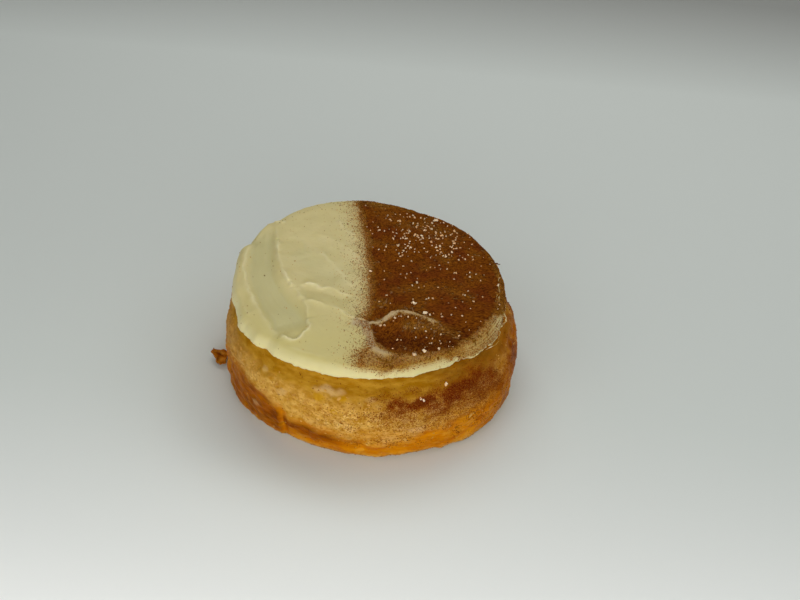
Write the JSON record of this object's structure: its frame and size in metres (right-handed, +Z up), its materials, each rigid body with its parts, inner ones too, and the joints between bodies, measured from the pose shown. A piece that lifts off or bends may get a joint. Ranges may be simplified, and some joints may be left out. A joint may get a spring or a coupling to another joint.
{
  "type": "cinnamon croissant roll",
  "caption": "Ring-baked laminated pastry roll with a thick spread of frosting, half of it dusted with cinnamon and sugar; rests on its flat base.",
  "frame": {"origin": "middle of the roll's footprint, crust flake included, on the surface it rests on", "axes": "+Z up through the frosting; +X towards the cinnamon-dusted half; -Y towards the viewer, with the lap of the dough at the front left"},
  "size_m": [0.1036, 0.0992, 0.0384],
  "materials": {
    "baked_dough": "baked, flaky, golden to orange-brown, buttery sheen",
    "frosting": "soft cream spread, satin, with knife marks",
    "cinnamon": "fine matt powder with coarse grains",
    "sugar": "small clear-white crystals"
  },
  "bodies": {
    "root": {"pastry_roll": "baked_dough", "frosting_cap": "frosting", "cinnamon_dusting": "cinnamon"}
  },
  "joints": []
}
